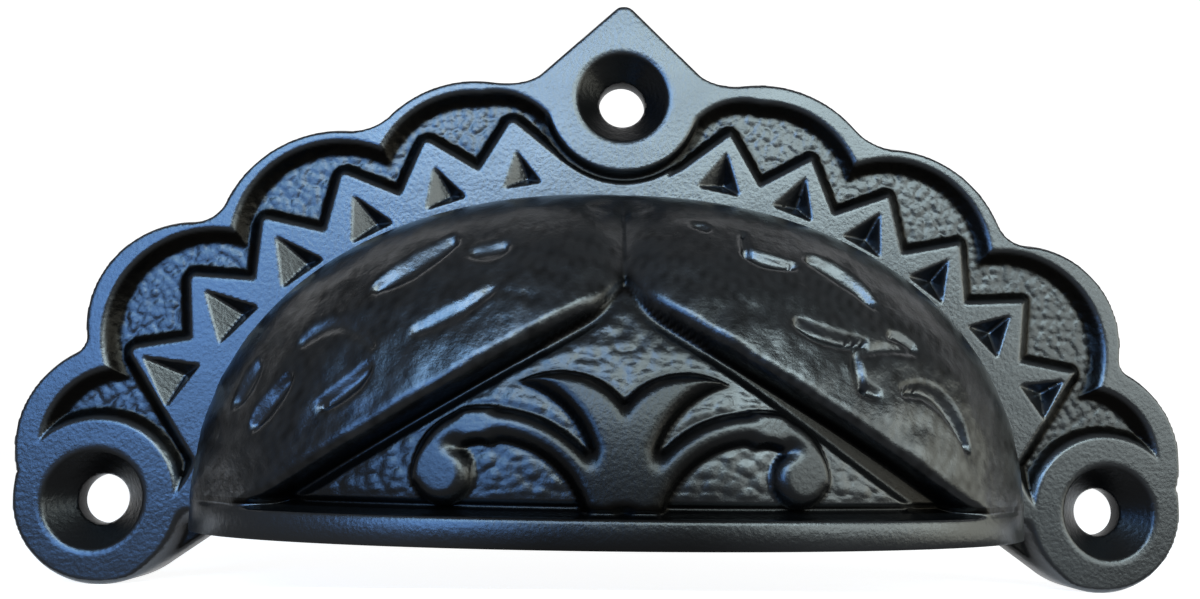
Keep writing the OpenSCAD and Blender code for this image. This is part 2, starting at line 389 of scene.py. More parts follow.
def plate_depth(x, z, s):
    """How far the plate's front stands before its back.

    From the full thickness, the round of the outer edge, the stippled fields, the triangles, the
    top groove, the countersinks and the slopes of the heels are taken off. Behind the hood it stays
    low.
    """
    thick, round_r, wall = s.thickness / MM, s.edge_radius / MM, s.wall_width / MM
    field_depth = s.field_depth / MM
    t = np.clip(-outline(x, z), 0, round_r)
    h = thick - (round_r - np.sqrt(np.maximum(round_r**2 - (round_r - t) ** 2, 0)))
    sunk = np.minimum(ramp(bays(x, z), 0.2, -wall), ramp(standing(x, z), -0.35, 0.8 * wall))
    bumps = s.stipple / MM * cell_noise(x, z, FIELD_BUMPS, seed=3)
    h = h - sunk * (field_depth - bumps)
    h = h - triangles(x, z)
    h = h - TOP_GROOVE_SHARE * field_depth * top_groove(x, z, 0.65, 0.15) * (1 - sunk)
    r = screw_radius(x, z)
    h = h - np.clip(CONE_R - r, 0, CONE_R - BORE_R)
    h = h - CONE_ROUND * rise(r, CONE_R + 0.5, CONE_R - 0.2)
    h = h - HEEL_DROP * heel(x, z) + FACE_WAVE_H * wave_noise(x, z, FACE_WAVE, seed=8)
    behind = ellipse(x, z, HOOD_A - HOOD_OVERLAP, HOOD_H - HOOD_OVERLAP) < 0
    return np.where(behind, np.minimum(h, HOOD_SEAT), h)


def plate_painted_shade(x, z):
    """Painted shade: one on the open faces, less by the share of each form where shade falls."""
    inside, clear = -bays(x, z), standing(x, z)
    in_field = np.minimum(inside, clear)
    walls = np.maximum(rise(inside, 1.5, 1.0), rise(clear, 1.15, 0.75)) * rise(in_field, 0, 0.25)
    # Painted shade in the fields' walls, the top groove, the countersinks and the heels' slopes
    dark = np.maximum.reduce(
        [
            PLATE_PAINTED_SHADE["wall"] * walls,
            PLATE_PAINTED_SHADE["groove"] * top_groove(x, z, 0.675, 0.225),
            PLATE_PAINTED_SHADE["cone"] * rise(screw_radius(x, z), CONE_R + 0.2, CONE_R - 0.1),
            PLATE_PAINTED_SHADE["heel"] * heel(x, z),
        ]
    )
    # Painted shade on the fields' floors and in the triangles' pits
    floor = 1 - PLATE_PAINTED_SHADE["floor"] * rise(in_field, 0, 0.6)
    return (1 - dark) * floor * (1 - PLATE_PAINTED_SHADE["triangle"] * rise(triangles(x, z), 0, 0.2))


# Limits of the grid's work at an edge, as shares of its step: how near a point is moved onto the
# edge, how far the slope is felt, and what counts as outside or as a sliver
EDGE_REACH = 0.5
EDGE_FEEL = 0.02
EDGE_OUTSIDE = -0.002
BACK_OUTSIDE = 0.001
SLIVER = 0.02
LEAST_SLOPE = 0.25
SAME_POINT = 1e-6


def height_solid(edge, depth, box, step):
    """A closed solid over a flat back: y = -depth(x, z) where edge(x, z) is negative.

    The front is a square grid, whose points by the edge are moved onto it along the edge's slope.
    Each whole cell gives two triangles and each cell with three points one. A wall joins every open
    edge of the front to the back, a flat sheet spanned between those edges by a Delaunay
    triangulation.
    """
    across = np.arange(box[0], box[1] + step, step)
    upward = np.arange(box[2], box[3] + step, step)
    x, z = np.meshgrid(across, upward)
    d = edge(x, z)
    keep, near = d < EDGE_REACH * step, d > -EDGE_REACH * step
    feel = EDGE_FEEL * step
    for _ in range(2):
        d = edge(x, z)
        gx = (edge(x + feel, z) - edge(x - feel, z)) / (2 * feel)
        gz = (edge(x, z + feel) - edge(x, z - feel)) / (2 * feel)
        move = np.where(near & keep, d / np.maximum(gx**2 + gz**2, LEAST_SLOPE), 0)
        x, z = x - move * gx, z - move * gz
    h = depth(x, z)
    ids = np.arange(x.size).reshape(x.shape)
    corner = [ids[:-1, :-1], ids[:-1, 1:], ids[1:, 1:], ids[1:, :-1]]
    a, b, c, e = corner
    ka, kb, kc, ke = (keep.ravel()[i] for i in corner)
    ha, hb, hc, he = (h.ravel()[i] for i in corner)
    whole, cut = ka & kb & kc & ke, np.abs(ha - hc) < np.abs(hb - he)
    picks = [
        (a, b, c, (whole & cut) | (ka & kb & kc & ~ke)),
        (a, c, e, (whole & cut) | (ka & kc & ke & ~kb)),
        (a, b, e, (whole & ~cut) | (ka & kb & ke & ~kc)),
        (b, c, e, (whole & ~cut) | (kb & kc & ke & ~ka)),
    ]
    tris = np.concatenate([np.stack([i[m], j[m], k[m]], 1) for i, j, k, m in picks])
    fx, fz = x.ravel(), z.ravel()
    p, q, r = tris.T
    area = (fx[q] - fx[p]) * (fz[r] - fz[p]) - (fx[r] - fx[p]) * (fz[q] - fz[p])
    outside = edge(fx[tris].mean(1), fz[tris].mean(1)) > EDGE_OUTSIDE * step
    on_edge = near.ravel()[tris].all(1)
    tris = tris[~(on_edge & (outside | (area < SLIVER * step**2)))]
    used, flat = np.unique(tris, return_inverse=True)
    tris, n = flat.reshape(tris.shape), len(used)
    sides = np.concatenate([tris[:, [0, 1]], tris[:, [1, 2]], tris[:, [2, 0]]])
    there, back_again = sides[:, 0] * n + sides[:, 1], sides[:, 1] * n + sides[:, 0]
    front = np.stack([fx[used], -h.ravel()[used], fz[used]], 1)
    ring, rim = np.unique(sides[~np.isin(there, back_again)], return_inverse=True)
    rim = rim.reshape(-1, 2)
    back = front[ring] * [1, 0, 1]
    spots = [Vector(spot) for spot in back[:, [0, 2]]]
    sheet = geometry.delaunay_2d_cdt(spots, rim.tolist(), [], 1, SAME_POINT)
    sheet_faces, sheet_sources = sheet[2], sheet[3]
    flat = np.array([[sheet_sources[i][0] for i in tri] for tri in sheet_faces])
    middle = back[flat].mean(1)
    flat = flat[edge(middle[:, 0], middle[:, 2]) < BACK_OUTSIDE * step]
    walls = np.stack([ring[rim[:, 1]], ring[rim[:, 0]], n + rim[:, 0], n + rim[:, 1]], 1)
    faces = tris.tolist() + walls.tolist() + (n + flat[:, ::-1]).tolist()
    return np.concatenate([front, back]), faces


# Cuts in the leaves as a carver left them, each with its line, half widths and depth
LEAF_CUTS = [
    ([(-19.0, 16.6), (-16.4, 18.3), (-13.4, 20.7)], (0.25, 0.75, 0.45), 0.9),
    ([(-11.6, 19.5), (-10.4, 19.6), (-9.2, 20.1)], (0.35, 0.6, 0.35), 0.6),
    ([(-29.6, 7.9), (-28.7, 9.3), (-28.0, 11.0)], (0.3, 0.6, 0.3), 0.7),
    ([(-27.4, 6.1), (-26.2, 7.6), (-24.8, 9.6)], (0.3, 0.65, 0.3), 0.8),
    ([(-21.8, 7.5), (-20.0, 8.6), (-18.5, 10.2)], (0.25, 0.6, 0.3), 0.8),
    ([(-24.2, 12.4), (-21.2, 13.7), (-18.4, 12.0)], (0.3, 0.55, 0.3), 0.45),
    ([(-15.2, 13.0), (-12.6, 14.3), (-9.8, 16.2)], (0.3, 0.6, 0.3), 0.4),
    ([(5.6, 22.7), (6.1, 22.6), (6.6, 22.4)], (0.3, 0.35, 0.3), 0.5),
    ([(9.4, 20.2), (11.0, 19.5), (13.2, 19.2)], (0.4, 0.55, 0.3), 0.7),
    ([(9.5, 22.0), (9.4, 21.0), (9.6, 20.2)], (0.25, 0.4, 0.35), 0.5),
    ([(14.7, 20.0), (17.3, 18.6), (19.6, 16.4)], (0.4, 0.75, 0.25), 0.9),
    ([(12.8, 14.3), (15.2, 13.3), (18.2, 13.0)], (0.35, 0.65, 0.25), 0.9),
    ([(20.4, 13.9), (21.4, 13.6), (22.6, 13.0)], (0.25, 0.4, 0.25), 0.5),
    ([(17.3, 12.2), (17.2, 10.8), (17.6, 9.4)], (0.25, 0.45, 0.3), 0.5),
    ([(17.8, 12.2), (20.0, 12.7), (22.6, 12.6)], (0.25, 0.4, 0.25), 0.4),
    ([(17.4, 9.5), (18.0, 9.3), (18.7, 9.1)], (0.3, 0.45, 0.3), 0.5),
    ([(21.0, 9.4), (24.2, 8.9), (26.4, 5.4)], (0.3, 0.75, 0.3), 0.9),
]

# How the cuts of the left leaf and of the right one are widened and deepened, how round their
# bottoms are, and how many stations follow a cut's line
CUT_WIDEN_LEFT, CUT_WIDEN_RIGHT = 1.45, 1.2
CUT_DEEPEN_LEFT, CUT_DEEPEN_RIGHT = 0.8, 0.95
CUT_ROUND = 1.03
CUT_STATIONS = 41

# Scrolls and palmette, arcs as centre and radius
HORN = ((4.6, 4.8), 5.9)
HORN_HOLLOW = ((9.6, 2.6), 7.4)
STEM = [(-5, 8.6), (0, 8.5), (2.4, 5.6), (3.0, 2.2), (1.5, 0.2), (-5, 0.2)]
ARM = ((9.5, -1.4), 8.0)
ARM_END = 11.8
HOOK = ((10.5, 3.1), 3.5)
HOOK_START = (9.4, 2.2)
HEAD = ((12.9, 3.0), 2.3)
SCROLL_HALF = 1.25
SCROLL_FOOT = 0.2
SCROLL_CROWN = 2.3
HOOK_FILLET, HEAD_FILLET, PALMETTE_FILLET = 0.6, 0.3, 0.4

# Leaves: the lower edge's height at the middle and its fall, the cosine of that fall, the small
# peak at the middle, the height at which the edge runs out, and the form of the leaf above it
SUNK_H = 17.0
SUNK_SLOPE = 0.613
LEAF_LEAN = 0.853
PEAK_HALF = 1.2
RUN_OUT = 0.8
RUN_OUT_ROUND = 0.2
LEAF_SWELL = 0.5
LEAF_SWELL_POWER = 1.6
LEAF_LEAST = 0.5
LEAF_ROLL = 0.5
LEAF_ROLL_W = 0.7
CREASE_W = 2.0

# Unevenness of the leaves: a patch of pimples on the left one, broad waves and small bumps
PIMPLES = (-9.5, 15.4)
PIMPLES_HALF = (4.5, 2.8)
PIMPLE_H, PIMPLE_PITCH = 0.12, 1.0
LEAF_WAVE_H, LEAF_WAVE = 0.05, 3.2
LEAF_BUMP_H, LEAF_BUMPS = 0.045, 1.0

# Sunk field: pitch of its bumps, groove along the leaves, seam over the lip, and the lip's bead
SUNK_BUMPS = 0.9
LEAF_GROOVE_D = 0.4
LEAF_GROOVE_W, LEAF_GROOVE_W_MORE = 0.6, 1.0
LEAF_GROOVE_ROUND = 0.9
SEAM_Z = 0.75
SEAM_D = 0.4
BEAD_H = 0.4
BEAD_Z = -0.95
BEAD_HALF = 1.35

# Brightness of the hood's iron, form by form, most of it painted light and shade: painted shade
# inside, in the pinch, by the scrolls, in the groove and seam and on the lip, painted light on the
# leaves' top, the scrolls' ends, the field's right and the lip's ends, and painted highlights in
# the cuts and on the scrolls' crowns. A pair is the length and strength of a random mottle.
HOOD_INSIDE_PAINTED_SHADE = 0.4
LEAF_BRIGHT, LEAF_TOP_PAINTED_LIGHT, CUT_PAINTED_HIGHLIGHT, PINCH_PAINTED_SHADE = 0.74, 0.2, 0.3, 0.85
MOTTLE_BROAD, MOTTLE_FINE = (2.1, 0.2), (0.9, 0.2)
SCROLL_BRIGHT, SCROLL_CROWN_PAINTED_HIGHLIGHT, SCROLL_END_PAINTED_LIGHT = 0.12, 0.16, 0.3
FIELD_BRIGHT, FIELD_RIGHT_PAINTED_LIGHT, FIELD_BY_SCROLL_PAINTED_SHADE = 0.5, 0.4, 0.25
GROOVE_PAINTED_SHADE, SEAM_PAINTED_SHADE = 0.9, 0.7
GROOVE_SHADE_W, GROOVE_SHADE_W_MORE = 0.8, 1.1
PINCH = (0.0, SUNK_H + 1)
PINCH_HALF = (0.6, 1.2)
LIP_TOP = 0.4
LIP_BRIGHT, LIP_END_PAINTED_LIGHT = 0.4, 0.6


def stroke(x, z, points, widths):
    """Nearness to a curved stroke: one on its middle line, falling with the square to its edge.

    The line is a quadratic curve through three points, the half width runs between three widths in
    the same way and is widened by side, and the nearest of many stations counts.
    """
    (x0, z0), (x1, z1), (x2, z2) = points
    widen = CUT_WIDEN_LEFT if x1 < 0 else CUT_WIDEN_RIGHT
    least = 0.05
    out = np.zeros(np.shape(x))
    for t in np.linspace(0, 1, CUT_STATIONS):
        k0, k1, k2 = (1 - t) * (1 - 2 * t), 4 * t * (1 - t), t * (2 * t - 1)
        w = (k0 * widths[0] + k1 * widths[1] + k2 * widths[2]) * widen
        cx, cz = k0 * x0 + k1 * x1 + k2 * x2, k0 * z0 + k1 * z1 + k2 * z2
        out = np.maximum(out, 1 - ((x - cx) ** 2 + (z - cz) ** 2) / max(w, least) ** 2)
    return out


def hood_reach(x, z):
    """How far out a point lies on the hood's front, on a squarish oval.

    It is nought in the middle and one at the foot, and below the middle only x counts.
    """
    across, upward = np.abs(x / HOOD_A), np.maximum(z, 0) / HOOD_H
    return (across**HOOD_SQUARE + upward**HOOD_SQUARE) ** (1 / HOOD_SQUARE)


def dome(x, z):
    """Depth of the hood's plain curve: the front of an egg, and straight down below its middle."""
    return HOOD_BASE + HOOD_B * np.sqrt(np.clip(1 - hood_reach(x, z) ** 2, 0, 1))


def hood_top(x):
    """Height at which the hood's curve meets its foot."""
    left_over = np.clip(1 - np.abs(x / HOOD_A) ** HOOD_SQUARE, 0, 1)
    return HOOD_H * left_over ** (1 / HOOD_SQUARE)


def scrolls(x, z):
    """Distance to the scrolls and the heart-shaped palmette, negative inside.

    A scroll is an arm and a hook, each a band along an arc, with a round head. The palmette is a
    stem with two horns, each a disc less another.
    """
    x = np.abs(x)
    under_foot = SCROLL_FOOT - z
    horn = np.maximum(disc(x, z, *HORN), -disc(x, z, *HORN_HOLLOW))
    stem = polygon(x, z, STEM)
    arm = np.abs(disc(x, z, *ARM)) - SCROLL_HALF
    arm = np.maximum(arm, np.maximum(x - ARM_END, under_foot))
    hook = np.abs(disc(x, z, *HOOK)) - SCROLL_HALF
    hook = np.maximum(hook, np.maximum(HOOK_START[0] - x, HOOK_START[1] - z))
    d = fillet_union(arm, hook, HOOK_FILLET)
    d = fillet_union(d, disc(x, z, *HEAD), HEAD_FILLET)
    return fillet_union(d, np.minimum(np.maximum(horn, under_foot), stem), PALMETTE_FILLET)


def leaf_edge(x):
    """Height of the leaves' lower edge, a roof over the sunk field that runs out above the lip.

    It is the higher of the roof's line, with a small peak, and a low level, in a smooth passage.
    """
    line = SUNK_H - SUNK_SLOPE * np.abs(x) + np.exp(-((x / PEAK_HALF) ** 2))
    return 0.5 * (line + RUN_OUT + np.sqrt((line - RUN_OUT) ** 2 + RUN_OUT_ROUND))


def to_the_right(x):
    """Zero on the left and in the middle of the hood, and one well out on the right."""
    return rise(x, 4, 22)


def carved(x):
    """One over the sunk field and zero at the hood's ends, where the leaves run down to the lip."""
    return rise(np.abs(x), 28.5, 25.5)


def leaf_relief(x, z, over, s):
    """Height of the leaves over the hood's plain curve.

    They swell towards their lower edge, which is rolled, and have a crease between them, the
    carver's cuts and an uneven skin. A cut is a groove whose depth falls with the distance from its
    line, round at the bottom. The distance over the leaves' lower edge is given.
    """
    ax = np.abs(x)
    tall = np.maximum((hood_top(x) - leaf_edge(x)) * LEAF_LEAN, LEAF_LEAST)
    swell = LEAF_SWELL * (1 - np.clip(over / tall, 0, 1)) ** LEAF_SWELL_POWER
    swell = swell * rise(ax, -0.5, 3.5) * rise(ax, 32, 25)
    roll = -LEAF_ROLL * np.clip(1 - over / LEAF_ROLL_W, 0, 1) ** 2 * carved(x)
    crease = -s.crease_depth / MM * np.exp(-ax / CREASE_W) * rise(z, 12, 16)
    leaf = swell + roll + crease
    for points, widths, deep in LEAF_CUTS:
        deepen = CUT_DEEPEN_LEFT if points[1][0] < 0 else CUT_DEEPEN_RIGHT
        near = stroke(x, z, points, widths)
        leaf = leaf - deepen * deep * (math.sqrt(CUT_ROUND) - np.sqrt(CUT_ROUND - near))
    away = np.hypot((x - PIMPLES[0]) / PIMPLES_HALF[0], (z - PIMPLES[1]) / PIMPLES_HALF[1])
    leaf = leaf + PIMPLE_H * rise(away, 1, 0.375) * cell_noise(x, z, PIMPLE_PITCH, seed=5)
    leaf = leaf + LEAF_WAVE_H * wave_noise(x, z, LEAF_WAVE, seed=2)
    return leaf + LEAF_BUMP_H * cell_noise(x, z, LEAF_BUMPS, seed=31)


def field_relief(x, z, over, s):
    """Height of the sunk field against the hood's plain curve.

    Its ground is stippled where it is clear of the edges. A groove, wider on the right, runs along
    the leaves and a seam over the lip, and the scrolls rise from it with round crowns.
    """
    d = scrolls(x, z)
    sunk = s.sunk_depth / MM
    wide = LEAF_GROOVE_W + LEAF_GROOVE_W_MORE * to_the_right(x)
    calm = rise(np.minimum(d, np.minimum(-over - wide - 0.5, z - 1.2)), 0, 0.7)
    ground = -sunk + s.stipple / MM * cell_noise(x, z, SUNK_BUMPS, seed=11) * calm
    groove = -LEAF_GROOVE_D * rise(over, -wide - LEAF_GROOVE_ROUND, -wide)
    groove = groove * rise(np.abs(x), 0.5, 3.5)
    seam = -SEAM_D * rise(np.abs(z - SEAM_Z), 0.5, 0)
    field = ground + groove + seam
    crown = 1 - (1 - np.clip(-d / SCROLL_HALF, 0, 1)) ** SCROLL_CROWN
    return np.where(d < 0, np.maximum(field, -sunk) + s.scroll_height / MM * crown, field)


def hood_relief(x, z, s):
    """Height of all the carving over the hood's plain curve.

    The leaves pass into the sunk field at their lower edge, both pass into the bead of the lip, and
    all of it fades out at the hood's foot.
    """
    over = (z - leaf_edge(x)) * LEAF_LEAN
    leaf = leaf_relief(x, z, over, s)
    field = carved(x) * field_relief(x, z, over, s) + (1 - carved(x)) * leaf
    body = leaf + (field - leaf) * rise(over, 0.1, -0.6)
    bead = BEAD_H * np.sqrt(np.clip(1 - ((z - BEAD_Z) / BEAD_HALF) ** 2, 0, 1))
    bead = bead * rise(np.abs(x), 35, 29)
    lip = rise(z, 0.45, -0.05)
    return rise(hood_top(x) - z, 0, 2.5) * (body * (1 - lip) + bead * lip)


def hood_mottle_and_painted_light(x, z):
    """How bright the iron is, from zero in the darkest painted shade to one on an open face.

    The leaves are mottled, with painted light at the top, painted highlights in the cuts and
    painted shade where they meet in a pinch. The scrolls are darker, with painted highlights on
    their crowns and painted light at their outer ends. The field is darker, with painted light on
    the right and painted shade by the scrolls. The grooves, the seam and the lip have painted
    shade, with painted light at the lip's ends.
    """
    ax = np.abs(x)
    below = (leaf_edge(x) - z) * LEAF_LEAN
    cuts = np.maximum.reduce([stroke(x, z, points, widths) for points, widths, _ in LEAF_CUTS])
    mottle = MOTTLE_BROAD[1] * wave_noise(x, z, MOTTLE_BROAD[0], seed=21)
    mottle = mottle + MOTTLE_FINE[1] * wave_noise(x, z, MOTTLE_FINE[0], seed=22)
    # Painted light on the leaves' top and painted highlights in the cuts, over a random mottle
    leaf = LEAF_BRIGHT + mottle + LEAF_TOP_PAINTED_LIGHT * rise(z, 15, 21) + CUT_PAINTED_HIGHLIGHT * rise(cuts, 0, 2 / 3)
    # Painted shade where the leaves meet in a crease, which dims a highlight there
    pinch = ((x - PINCH[0]) / PINCH_HALF[0]) ** 2 + ((z - PINCH[1]) / PINCH_HALF[1]) ** 2
    leaf = leaf * (1 - PINCH_PAINTED_SHADE * np.exp(-pinch))
    d = scrolls(x, z)
    # The scrolls are darker, with painted highlights on their crowns and painted light at their
    # ends
    scroll = SCROLL_BRIGHT + SCROLL_CROWN_PAINTED_HIGHLIGHT * rise(d, 0, -0.8) + SCROLL_END_PAINTED_LIGHT * rise(ax, 4, 9)
    # Painted light on the field's right side and painted shade beside the scrolls
    ground = FIELD_BRIGHT + FIELD_RIGHT_PAINTED_LIGHT * rise(x, 4, 12)
    ground = ground - FIELD_BY_SCROLL_PAINTED_SHADE * rise(d, 0.5, 0)
    # Painted shade in the groove along the leaves' lower edge
    wide = GROOVE_SHADE_W + GROOVE_SHADE_W_MORE * to_the_right(x)
    groove = rise(below, 0, 0.3) * rise(below, wide, wide - 0.4)
    field = np.where(d < 0, scroll, ground) * (1 - GROOVE_PAINTED_SHADE * groove)
    body = leaf + (field - leaf) * rise(below, 0, 0.3)
    # Painted shade in the seam over the lip
    seam = rise(np.abs(z - SEAM_Z), 0.52, 0.12) * (below > 0)
    # Painted shade on the lip, with painted light towards its ends
    lip = LIP_BRIGHT + LIP_END_PAINTED_LIGHT * rise(ax, 4, 16)
    return np.where(z < LIP_TOP, lip, body * (1 - SEAM_PAINTED_SHADE * seam))


# Mesh of the hood: the angle of its last columns, rows over the lip, over the leaves' edge and down
# the inside, the band of close rows below and above that edge, and its seat in the plate
HOOD_END_TURN = math.radians(89.3)
LIP_ROWS = 13
WALL_ROWS = 28
INSIDE_ROWS = 14
WALL_BELOW, WALL_BELOW_SHARE = 2.2, 0.35
WALL_ABOVE, WALL_ABOVE_SHARE = 0.5, 0.3
EDGE_SHARE = 0.45
INSIDE_LEAST = 0.4
SEAT_DEPTH = 0.8
SEAT_DROP = 0.3


def hood_shell(s):
    """The hood as one closed shell of columns x = a sin(turn), each a ring of rows.

    Up the front, the rows run evenly over the lip and the field, closely over the leaves' lower
    edge, and by the sine of an even angle from there to the foot. The carving is laid on along the
    normal of the plain curve. Each ring then goes over into the plate, and down inside on a smaller
    egg to the lip.
    """
    turn = np.linspace(-HOOD_END_TURN, HOOD_END_TURN, s.columns + 1)
    column = HOOD_A * np.sin(turn)[:, None]
    top = hood_top(column)
    edge = np.minimum(leaf_edge(column), EDGE_SHARE * top)
    under = np.maximum(edge - WALL_BELOW, WALL_BELOW_SHARE * edge)
    over = np.minimum(edge + WALL_ABOVE, edge + WALL_ABOVE_SHARE * (top - edge))
    half = s.rows // 2
    low = -LIP_DROP * np.linspace(1, 0, LIP_ROWS, endpoint=False)[None] + 0 * top
    field = under * np.linspace(0, 1, half, endpoint=False)[None]
    wall = under + (over - under) * np.linspace(0, 1, WALL_ROWS, endpoint=False)[None]
    leaf = over + (top - over) * np.sin(np.linspace(0, math.pi / 2, half))[None]
    z = np.concatenate([low, field, wall, leaf], 1)
    x = column + 0 * z
    y = dome(x, z)
    swell = (hood_reach(x, z) + TINY) ** (2 - HOOD_SQUARE)
    nx = swell * np.sign(x) * np.abs(x / HOOD_A) ** (HOOD_SQUARE - 1) / HOOD_A
    nz = swell * (np.maximum(z, 0) / HOOD_H) ** (HOOD_SQUARE - 1) / HOOD_H
    n = np.stack([nx, (y - HOOD_BASE) / HOOD_B**2, nz])
    n /= np.linalg.norm(n, axis=0) + TINY
    lift = hood_relief(x, z, s)
    front = np.stack([x + n[0] * lift, -(y + n[1] * lift), z + n[2] * lift], 2)
    fall = np.linspace(0, math.pi / 2, INSIDE_ROWS)
    ix = INNER_A * np.sin(turn)[:, None] * np.ones((1, INSIDE_ROWS))
    iz = INNER_H * np.cos(turn)[:, None] * np.cos(fall)[None]
    iy = INNER_B * np.sqrt(np.clip(1 - (ix / INNER_A) ** 2 - (iz / INNER_H) ** 2, 0, 1))
    inner = np.stack([ix, -np.maximum(iy, INSIDE_LEAST), iz], 2)
    seat = np.stack([x[:, -1], np.full(len(turn), -SEAT_DEPTH), top[:, 0] - SEAT_DROP], 1)
    foot = np.stack([ix[:, -1], inner[:, -1, 1], np.full(len(turn), -LIP_DROP)], 1)
    rings = np.concatenate([front, seat[:, None], inner, foot[:, None]], 1)
    m, k = rings.shape[:2]
    i, j = np.meshgrid(np.arange(m - 1), np.arange(k), indexing="ij")
    a, b = i * k + j, i * k + (j + 1) % k
    quads = np.stack([a, a + k, b + k, b], 2).reshape(-1, 4)
    caps = [list(range(k)), list(range((m - 1) * k, m * k))[::-1]]
    # Painted shade inside the hood
    mottle_and_painted_light = np.full((m, k), HOOD_INSIDE_PAINTED_SHADE)
    mottle_and_painted_light[:, : x.shape[1]] = hood_mottle_and_painted_light(x, z)
    return rings.reshape(-1, 3), quads.tolist() + caps, mottle_and_painted_light.ravel()


class PlateSettings(bpy.types.PropertyGroup):
    """Sizes of the plate's surface."""

    thickness: bpy.props.FloatProperty(
        name="Thickness",
        description="Thickness at the rim and lugs",
        default=0.0035,
        min=0.003,
        max=0.0045,
        unit="LENGTH",
    )
    edge_radius: bpy.props.FloatProperty(
        name="Edge radius",
        description="Round of the outer edge",
        default=0.0004,
        min=0.0002,
        max=0.0012,
        unit="LENGTH",
    )
    wall_width: bpy.props.FloatProperty(
        name="Wall width",
        description="Width of the sloping walls of the fields",
        default=0.0011,
        min=0.0003,
        max=0.0015,
        unit="LENGTH",
    )
    field_depth: bpy.props.FloatProperty(
        name="Field depth",
        description="Depth of the recessed fields",
        default=0.001,
        min=0.0005,
        max=0.0015,
        unit="LENGTH",
    )
    stipple: bpy.props.FloatProperty(
        name="Stipple",
        description="Height of the bumps in the fields",
        default=0.0001,
        min=0.0,
        max=0.0004,
        unit="LENGTH",
    )
    step: bpy.props.FloatProperty(
        name="Step",
        description="Spacing of the surface's points",
        default=0.00018,
        min=0.00015,
        max=0.001,
        unit="LENGTH",
    )


class HoodSettings(bpy.types.PropertyGroup):
    """Sizes of the hood's carving."""

    sunk_depth: bpy.props.FloatProperty(
        name="Sunk depth",
        description="Depth of the field under the leaves",
        default=0.0012,
        min=0.0008,
        max=0.002,
        unit="LENGTH",
    )
    scroll_height: bpy.props.FloatProperty(
        name="Scroll height",
        description="Height of the scrolls over the field",
        default=0.0011,
        min=0.0006,
        max=0.0016,
        unit="LENGTH",
    )
    crease_depth: bpy.props.FloatProperty(
        name="Crease depth",
        description="Depth of the crease between the leaves",
        default=0.0012,
        min=0.0004,
        max=0.002,
        unit="LENGTH",
    )
    stipple: bpy.props.FloatProperty(
        name="Stipple",
        description="Height of the bumps in the sunk field",
        default=0.00012,
        min=0.0,
        max=0.0004,
        unit="LENGTH",
    )
    columns: bpy.props.IntProperty(
        name="Columns", description="Columns across the hood", default=446, min=60, max=500
    )
    rows: bpy.props.IntProperty(
        name="Rows", description="Rows up the field and the leaves", default=160, min=30, max=220
    )


class IronSettings(bpy.types.PropertyGroup):
    """Blackened iron."""

    # The tone is the colour of the open faces, the hollow colour that of the darkest painted shade
    tone: bpy.props.FloatVectorProperty(
        name="Tone",
        description="Colour of the rubbed faces",
        default=(0.085, 0.088, 0.093),
        min=0.0,
        max=1.0,
        subtype="COLOR",
        size=3,
    )
    hollow: bpy.props.FloatVectorProperty(
        name="Hollow",
        description="Colour in the hollows",
        default=(0.008, 0.0065, 0.005),
        min=0.0,
        max=1.0,
        subtype="COLOR",
        size=3,
    )
    roughness: bpy.props.FloatProperty(
        name="Roughness",
        description="Roughness of the iron",
        default=0.3,
        min=0.05,
        max=1.0,
        subtype="FACTOR",
    )
    grain: bpy.props.FloatProperty(
        name="Grain",
        description="Strength of the casting's fine grain",
        default=0.16,
        min=0.0,
        max=1.0,
        subtype="FACTOR",
    )


class StageSettings(bpy.types.PropertyGroup):
    """Camera and light."""

    focal: bpy.props.FloatProperty(
        name="Lens",
        description="Focal length in millimetres",
        default=28.5,
        min=10.0,
        max=200.0,
        unit="CAMERA",
    )
    eye: bpy.props.FloatVectorProperty(
        name="Eye",
        description="Place of the camera",
        default=(-0.003025, -0.085759, 0.004492),
        size=3,
        subtype="TRANSLATION",
    )
    turn: bpy.props.FloatVectorProperty(
        name="Turn",
        description="Rotation of the camera",
        default=(math.radians(96.628), math.radians(-0.940), math.radians(-3.254)),
        size=3,
        subtype="EULER",
    )
    ambient: bpy.props.FloatProperty(
        name="Ambient",
        description="Strength of the even light from all sides",
        default=0.2,
        min=0.0,
        max=2.0,
    )


SHARP_ANGLE = math.radians(72)

# Casting grain: scale and detail of the fine noise, the group's own roughness, scale of the broad
# noise, how far that changes the roughness up and down, and the height of the bump in metres
GRAIN_SCALE = 2800.0
GRAIN_DETAIL = 4.0
GRAIN_ROUGHNESS = 0.33
BROAD_SCALE = 160.0
BROAD_SPREAD = 0.07
GRAIN_HEIGHT = 0.0002


def make_piece(name, points, faces, mottle_and_painted_light, material):
    """A shown piece from points in millimetres, smooth but for its sharp edges.

    Its painted light and shade, with the hood's mottle, go along as an attribute of the points.
    """
    mesh = bpy.data.meshes.new(name)
    mesh.from_pydata((points * MM).tolist(), [], faces)
    # The attribute holds the pieces' painted light and shade and the hood's random mottle
    shine = mesh.attributes.new("mottle_and_painted_light", "FLOAT", "POINT")
    shine.data.foreach_set("value", mottle_and_painted_light.astype(np.float32))
    mesh.validate()
    mesh.shade_smooth()
    mesh.set_sharp_from_angle(angle=SHARP_ANGLE)
    mesh.materials.append(material)
    obj = bpy.data.objects.new(name, mesh)
    bpy.context.scene.collection.objects.link(obj)
    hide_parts("cup_pull")
    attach(obj, "root")


